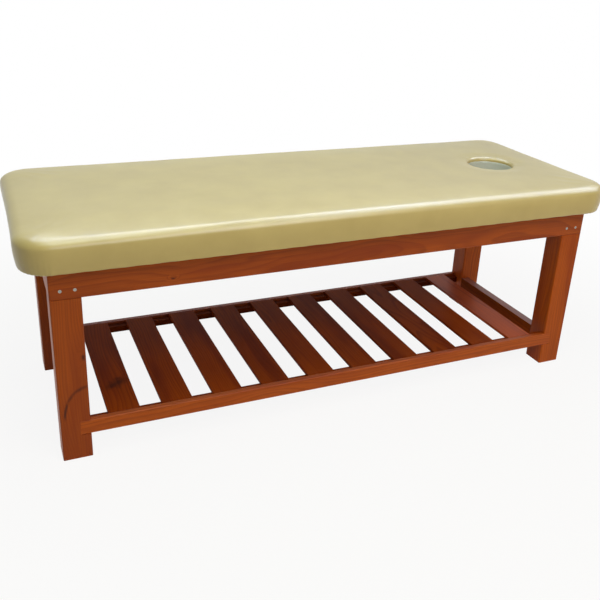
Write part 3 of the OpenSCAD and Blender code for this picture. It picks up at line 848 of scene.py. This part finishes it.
def face_points():
    """Points for the top's face: rings close round the hole, and staggered rows that keep clear of
    them, of the rolled edge and of the corners."""
    ring_radii = [CREST_R + d * MM for d in (7, 16, 28, 42)]
    points = []
    for r in ring_radii:
        points += circle(r, HOLE_STEPS // 2, HOLE_X)
    rows = int(2 * HALF_W / GRID)
    for j in range(rows + 1):
        y = -HALF_W + 2 * HALF_W * j / rows
        for i in range(int(2 * HALF_L / GRID) + 1):
            x = -HALF_L + (i + 0.5 * (j % 2)) * GRID
            inside = min(HALF_L - abs(x), HALF_W - abs(y)) > EDGE_RUN + 0.6 * GRID
            cx, cy = past_sides(x, y)
            in_corner = cx > 0 and cy > 0 and math.hypot(cx, cy) > CORNER_R - EDGE_RUN - 0.5 * GRID
            clear_of_hole = math.hypot(x - HOLE_X, y) > ring_radii[-1] + 0.6 * GRID
            if inside and not in_corner and clear_of_hole:
                points.append((x, y))
    return points


def top_cover(material):
    """The stretched cover over the foam: return, side, rounded edge, crowned face, and the soft roll
    down into the face hole. It is one closed form."""
    mesh = bmesh.new()
    loops = []
    for inset, z, draw in top_profile():
        loops.append([mesh.verts.new((x, y, z)) for x, y in outline(inset, draw)])
    hole = []
    for r, z in roll_profile():
        hole.append([mesh.verts.new((x, y, z)) for x, y in circle(r, HOLE_STEPS, HOLE_X)])
    for a, b in [*zip(loops, loops[1:]), *zip(hole, hole[1:])]:
        bridge(mesh, a, b)
    fill_sheet(mesh, loops[-1], hole[0], crown_z, face_points())
    under_points = circle(CREST_R * 1.4, HOLE_STEPS // 2, HOLE_X)
    fill_sheet(mesh, loops[0], hole[-1], lambda x, y: RETURN_Z, under_points)
    piece = bed_piece("top_cover", mesh, material)
    settle(piece)
    stretch(piece)
    subdivision = piece.modifiers.new("subdivision", "SUBSURF")
    subdivision.levels = subdivision.render_levels = 1
    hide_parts("vinyl_cover", "foam_pad")


def corner_share(x, y, low, high):
    """0 along the sides of the top and 1 in its corners, with a smooth step between them."""
    return smooth(np.minimum(*past_sides(x, y)), low, high)


def up_side(z):
    """0 at the foot of the top's sides and 1 where the rolled edge starts."""
    return (z - SOLE_Z) / (EDGE_Z - SOLE_Z)


def settle(piece):
    """Lets the cover settle as cloth under a little pressure. The return and the foot of the hole are
    stapled and stay, the foam holds the rest softly, and the lower corners have cloth to spare,
    which gathers in folds."""
    scene = bpy.context.scene
    start = points_of(piece.data)
    x, y, z = start.T
    corner = corner_share(x, y, -50 * MM, 20 * MM)
    held = np.where(z < SOLE_Z + 1.5 * MM, 1.0, 0.40 - 0.28 * corner)
    slack = np.clip(corner * smooth(-up_side(z), -0.9, -0.1), 0, 1)
    for name, weights in (("held", held), ("slack", slack)):
        group = piece.vertex_groups.new(name=name)
        for i, weight in enumerate(weights):
            group.add([i], float(weight), "REPLACE")
    cloth = piece.modifiers.new("settle", "CLOTH")
    for name, value in CLOTH_RULES.items():
        setattr(cloth.settings, name, value)
    cloth.settings.effector_weights.gravity = 0
    cloth.point_cache.frame_start = 1
    cloth.point_cache.frame_end = CLOTH_FRAMES
    for step in range(1, CLOTH_FRAMES + 1):
        scene.frame_set(step)
    settled = piece.evaluated_get(bpy.context.evaluated_depsgraph_get()).data
    moved = points_of(settled) - start
    far = np.linalg.norm(moved, axis=1, keepdims=True) + 1e-9
    moved *= CLOTH_CAP * np.tanh(far / CLOTH_CAP) / far
    piece.modifiers.remove(cloth)
    piece.vertex_groups.clear()
    scene.frame_set(1)
    move_points(piece.data, start + moved)


def lumps(points, scale, shift):
    """A random height at each point, from -1 to 1, in lumps about as wide as a metre over scale."""
    return np.array([noise.noise(Vector(p) * scale + Vector(shift)) for p in points])


def gathers(points, gate):
    """About ten soft folds round each lower corner, deepest at the foot."""
    x, y, z = points.T
    cx, cy = past_sides(x, y)
    angle = np.arctan2(np.maximum(cy, 0), np.maximum(cx, 0) + 1e-9)
    folds = np.sin(angle * 40 + 2.0 * gate + np.sign(x) * 0.7) * corner_share(x, y, -45 * MM, 15 * MM)
    foot = np.clip(1 - up_side(z), 0, 1) ** 1.7
    return 1.3 * MM * folds * foot * (0.6 + 0.8 * np.clip(gate + 0.4, 0, 1))


def pull_marks(points):
    """Pull marks of the staples, every 70 mm along the foot of the sides."""
    x, y, z = points.T
    cx, cy = past_sides(x, y)
    run = np.where(cy > cx, x, y)
    pulls = 0.5 + 0.5 * np.cos(TURN * run / (70 * MM))
    straight = 1 - corner_share(x, y, -45 * MM, 15 * MM)
    return 0.9 * MM * pulls * straight * np.clip(1 - 1.4 * up_side(z), 0, 1) ** 1.5


def soft_edge(points, gate):
    """The foam's edge is softer towards the head end, so the roll is broader there."""
    x, y, z = points.T
    inset = np.minimum(HALF_L - np.abs(x), HALF_W - np.abs(y))
    along_roll = (FLAT_Z - z) / EDGE_DROP - inset / EDGE_RUN
    softer = np.exp(-(along_roll / 0.9) ** 2) * smooth(x, 0.10, 0.70)
    return (3.0 + 1.2 * gate) * MM * softer


def tension_lines(points, gate):
    """Tension lines on the face, fanning in from each corner."""
    x, y, z = points.T
    from_x = HALF_L - np.abs(x)
    from_y = HALF_W - np.abs(y)
    reach = np.hypot(from_x, from_y)
    fan = np.arctan2(from_y, from_x)
    band = (smooth(-reach, -260 * MM, -120 * MM) * smooth(reach, 70 * MM, 130 * MM)
            * smooth(np.minimum(from_x, from_y), EDGE_RUN, 2 * EDGE_RUN))
    lines = np.sin(fan * 26 + 3.5 * gate) * band
    on_face = smooth(z, EDGE_Z + 0.4 * EDGE_DROP, FLAT_Z)
    return 0.8 * MM * lines * on_face * np.clip(gate + 0.45, 0, 1)


def hole_puckers(points, gate):
    """The rim of the hole is soft and lies a little lower, with puckers where the face rolls into it."""
    x, y, z = points.T
    around = np.arctan2(y, x - HOLE_X)
    away = np.hypot(x - HOLE_X, y) - CREST_R
    near_hole = np.exp(-(away / (20 * MM)) ** 2) * smooth(z, SOLE_Z + 40 * MM, FLAT_Z - 10 * MM)
    return (0.5 * np.sin(around * 22 + 4 * gate) - 1.4) * MM * near_hole


def slow_waves(points):
    """Slow waves over foam and stretched skin."""
    z = points[:, 2]
    wave = lumps(points, 3.2, (0, 0, 0))
    ripple = lumps(points * (1, 1, 2), 11, (5, 3, 1))
    return (1.1 * MM * wave + 0.5 * MM * ripple) * smooth(z, SOLE_Z, SOLE_Z + 20 * MM)


def stretch(piece):
    """Moves the cover along its normals as stretched vinyl lies. The gate makes its folds, marks and
    lines uneven."""
    points = points_of(piece.data)
    normals = np.array([v.normal for v in piece.data.vertices])
    gate = lumps(points, 7, (9, 4, 7))
    move = (gathers(points, gate) - pull_marks(points) - soft_edge(points, gate)
            + tension_lines(points, gate) + hole_puckers(points, gate) + slow_waves(points))
    move_points(piece.data, points + normals * move[:, None])


def lining_profile(roll_end, low):
    """(radius, height) round the lining's section: its stitched edge under the roll, its wall, its
    flange, and the back of both."""
    wall_top, wall_foot = roll_end - 4 * MM, low + 3 * MM
    back_r = HOLE_R + LINING_T + 0.6 * MM
    profile = [(HOLE_R + 1.4 * MM, roll_end - 0.8 * MM), (HOLE_R + 0.5 * MM, roll_end - 2.2 * MM)]
    for s in range(WALL_STEPS + 1):
        profile.append((HOLE_R, wall_top + (wall_foot - wall_top) * s / WALL_STEPS))
    profile += [(HOLE_R + 0.9 * MM, low + 0.9 * MM), (HOLE_R + 3 * MM, low), (FLANGE_R - 8 * MM, low),
                (FLANGE_R, low), (FLANGE_R, low + LINING_T), (HOLE_R + 4 * MM, low + LINING_T),
                (back_r, low + 4 * MM), (back_r, roll_end - 2 * MM)]
    return profile


def hole_lining(material):
    """The lining of the face hole: a stitched edge under the roll, a slightly puckered wall, and a
    flange stapled under the board."""
    mesh = bmesh.new()
    roll_end = crown_z(HOLE_X + CREST_R, 0) - RIM_R
    low = SOLE_Z + 0.2 * MM
    loops = []
    for r, z in lining_profile(roll_end, low):
        loop = []
        for s in range(LINING_STEPS):
            a = TURN * s / LINING_STEPS
            wavy = r + LINING_PUCKER * (0.6 * math.sin(19 * a + 3 * z / MM) + 0.4 * math.sin(31 * a + 1))
            loop.append(mesh.verts.new((HOLE_X + wavy * math.cos(a), wavy * math.sin(a), z)))
        loops.append(loop)
    for a, b in zip(loops, loops[1:] + loops[:1]):
        bridge(mesh, a, b)
    piece = bed_piece("hole_lining", mesh, material)
    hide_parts("face_hole_lining")


def hang(x, y):
    """How far the fleece hangs down at a point, most in the middle between two bearers."""
    for a, b in SPANS:
        if a < x < b and abs(y) < APRON_Y:
            return FLEECE_SAG * math.sin(math.pi * (x - a) / (b - a)) * (1 - (y / APRON_Y) ** 2)
    return 0.0


def fleece_points(half_l, half_w):
    """A grid of points for the fleece, clear of its corners and of the flange."""
    points = []
    for i in range(int(2 * half_l / FLEECE_GRID)):
        for j in range(int(2 * half_w / FLEECE_GRID)):
            x, y = -half_l + (i + 0.5) * FLEECE_GRID, -half_w + (j + 0.5) * FLEECE_GRID
            in_corner = abs(x) > half_l - FLEECE_R and abs(y) > half_w - FLEECE_R
            if not in_corner and math.hypot(x - HOLE_X, y) > FLANGE_R:
                points.append((x, y))
    return points


def dust_cover(material):
    """The fleece that closes the underside: a thin sheet stapled over the cover's return, which
    hangs a little between the bearers and has a hole for the face hole's lining."""
    lo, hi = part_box("dust_cover")
    half_l, half_w = (hi.x - lo.x) / 2, (hi.y - lo.y) / 2
    top, low = hi.z - 0.1 * MM, lo.z + 0.1 * MM
    mesh = bmesh.new()
    edge = sum(corner_arcs(half_l, half_w, FLEECE_R, 8), [])
    hole = circle(FLANGE_R - FLEECE_LAP, 48, HOLE_X)
    rims = []
    for z in (top, low):
        rims.append([[mesh.verts.new((x, y, z)) for x, y in loop] for loop in (edge, hole)])
    fill_sheet(mesh, *rims[0], lambda x, y: top, ())
    fill_sheet(mesh, *rims[1], lambda x, y: low - hang(x, y), fleece_points(half_l, half_w))
    for a, b in zip(*rims):
        bridge(mesh, a, b)
    piece = bed_piece("underside_fleece", mesh, material)
    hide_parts("dust_cover")


# Scene

# Lamps: name, place, target, length and width, radiance in units of the white background, colour.
# The shines only show as reflections, so that the broad gloss of the edge can be set by itself. They
# are bluish, like daylight, and each end of the bed has one more.
LAMPS = (
    ("above", (-0.45, -0.20, 2.60), (-0.10, -0.35, 0.66), (3.0, 0.50), 3.3, "eefff4"),
    ("overhead", (-0.60, -0.75, 2.90), (-0.40, -0.32, 0.66), (2.6, 0.60), 2.9, "eefff4"),
    ("front", (0.42, -2.35, 2.55), (0.20, 0.00, 0.35), (2.2, 1.1), 4.3, "fff6ea"),
    ("low_front", (1.50, -3.20, 0.90), (0.50, 0.20, 0.35), (2.4, 0.8), 1.5, "fff6ea"),
    ("edge_shine", (1.10, 1.00, 2.70), (0.60, -0.20, 0.66), (5.0, 1.10), 7.0, "d0e0ff"),
    ("shoulder_shine", (1.10, -0.50, 2.90), (0.20, -0.32, 0.66), (5.0, 1.10), 6.0, "b8d0ff"),
    ("flank_shine", (0.40, -3.60, 2.30), (0.00, -0.34, 0.62), (3.2, 1.0), 6.0, "c4d8ff"),
    ("foot_end_shine", (-0.55, 0.25, 2.85), (-0.60, -0.32, 0.66), (1.4, 2.30), 4.6, "d0e0ff"),
    ("head_end_shine", (2.75, -0.30, 2.85), (0.80, -0.32, 0.66), (1.4, 2.20), 5.0, "d8e6ff"),
)
# The world's share of white that lights the bed
WORLD_LIGHT = 0.11
# The floor's radius, where it starts to go over to white and where it is white, and its share of
# white near the bed
FLOOR_R = 60.0
FLOOR_NEAR = 0.8
FLOOR_FAR = 2.6
FLOOR_WHITE = 0.90


def seen_rays(tree):
    """1 for the rays that show a background: straight from the camera, mirrored or let through."""
    path = add(tree, "LightPath")
    either = add(tree, "Math", "MAXIMUM", {
        0: path.outputs["Is Camera Ray"], 1: path.outputs["Is Glossy Ray"]})
    return add(tree, "Math", "MAXIMUM", {
        0: either.outputs["Value"], 1: path.outputs["Is Transmission Ray"]}).outputs["Value"]


def studio_light():
    """Two soft lamps above the bed light its top, one in front and a low one light its front, and the
    shines give the front edge its long pale reflection. The world is even and pale."""
    for name, place, target, size, radiance, colour in LAMPS:
        lamp = bpy.data.lights.new(name, "AREA")
        lamp.color = linear(colour)[:3]
        lamp.shape = "RECTANGLE"
        lamp.size, lamp.size_y = size
        lamp.energy = radiance * math.pi * size[0] * size[1]
        holder = bpy.data.objects.new(name, lamp)
        holder.location = place
        holder.rotation_euler = (Vector(target) - Vector(place)).to_track_quat("-Z", "Y").to_euler()
        holder.visible_diffuse = not name.endswith("shine")
        bpy.context.scene.collection.objects.link(holder)
    world = bpy.data.worlds.new("studio")
    bpy.context.scene.world = world
    tree = emptied(world)
    strength = add(tree, "MapRange", inputs={
        "Value": seen_rays(tree), "To Min": WORLD_LIGHT, "To Max": 1.0})
    sky = add(tree, "Background", inputs={
        "Color": (1, 1, 1, 1), "Strength": strength.outputs["Result"]})
    add(tree, "OutputWorld", inputs={"Surface": sky.outputs["Background"]})


def floor():
    """A pale seamless floor. Near the bed it takes the shadow; farther out it goes over to white."""
    mesh = bmesh.new()
    bmesh.ops.create_circle(mesh, cap_ends=True, segments=96, radius=FLOOR_R)
    bmesh.ops.translate(mesh, verts=mesh.verts, vec=(0, 0, -0.5 * MM))
    material = bpy.data.materials.new("matt_white_floor")
    tree = emptied(material)
    place = add(tree, "TexCoord").outputs["Object"]
    away = add(tree, "VectorMath", "LENGTH", {0: place})
    far = add(tree, "MapRange", {"interpolation_type": "SMOOTHSTEP"}, {
        "Value": away.outputs["Value"], "From Min": FLOOR_NEAR, "From Max": FLOOR_FAR,
        "To Min": FLOOR_WHITE, "To Max": 1.0})
    share = add(tree, "Math", "MULTIPLY", {
        0: far.outputs["Result"], 1: seen_rays(tree)})
    matt = add(tree, "BsdfDiffuse", inputs={"Color": linear("f0e8de")})
    white = add(tree, "Emission", inputs={"Color": (1, 1, 1, 1), "Strength": 1.0})
    mix = add(tree, "MixShader", inputs={
        0: share.outputs["Value"], 1: matt.outputs["BSDF"], 2: white.outputs["Emission"]})
    add(tree, "OutputMaterial", inputs={"Surface": mix.outputs["Shader"]})
    place_mesh("floor", mesh, material)


def camera():
    """The photograph's viewpoint: beyond the foot end at the front, above the top, rolled a little."""
    forward = LOOK.normalized()
    right = forward.cross(HEAD_UP).normalized()
    up = right.cross(forward)
    lens = bpy.data.cameras.new("camera")
    lens.sensor_width = SENSOR_MM
    lens.lens = SENSOR_MM * FOCAL_PX / IMAGE_PX
    lens.shift_x = (IMAGE_PX / 2 - CENTRE_PX[0]) / IMAGE_PX
    lens.shift_y = (CENTRE_PX[1] - IMAGE_PX / 2) / IMAGE_PX
    holder = bpy.data.objects.new("camera", lens)
    holder.matrix_world = Matrix.Translation(EYE) @ Matrix((right, up, -forward)).transposed().to_4x4()
    bpy.context.scene.collection.objects.link(holder)
    bpy.context.scene.camera = holder


camera()
floor()
studio_light()
dress_wood()
dress("deck_board", plywood())
dress("shelf_rail_dowels", dowel_wood())
top_cover(vinyl("cream_vinyl_embossed", "c7b16a", "d0bb73"))
# The lining is the same cream vinyl as the top; its pale grey-green is painted reflection and light inside
# the hole
hole_lining(vinyl("vinyl_lining_painted_reflection", "d2d6c8", "dadfd2"))
dust_cover(fleece())
steel = zinc()
screws(steel)
staples(steel)

bpy.context.scene.view_settings.view_transform = "Standard"
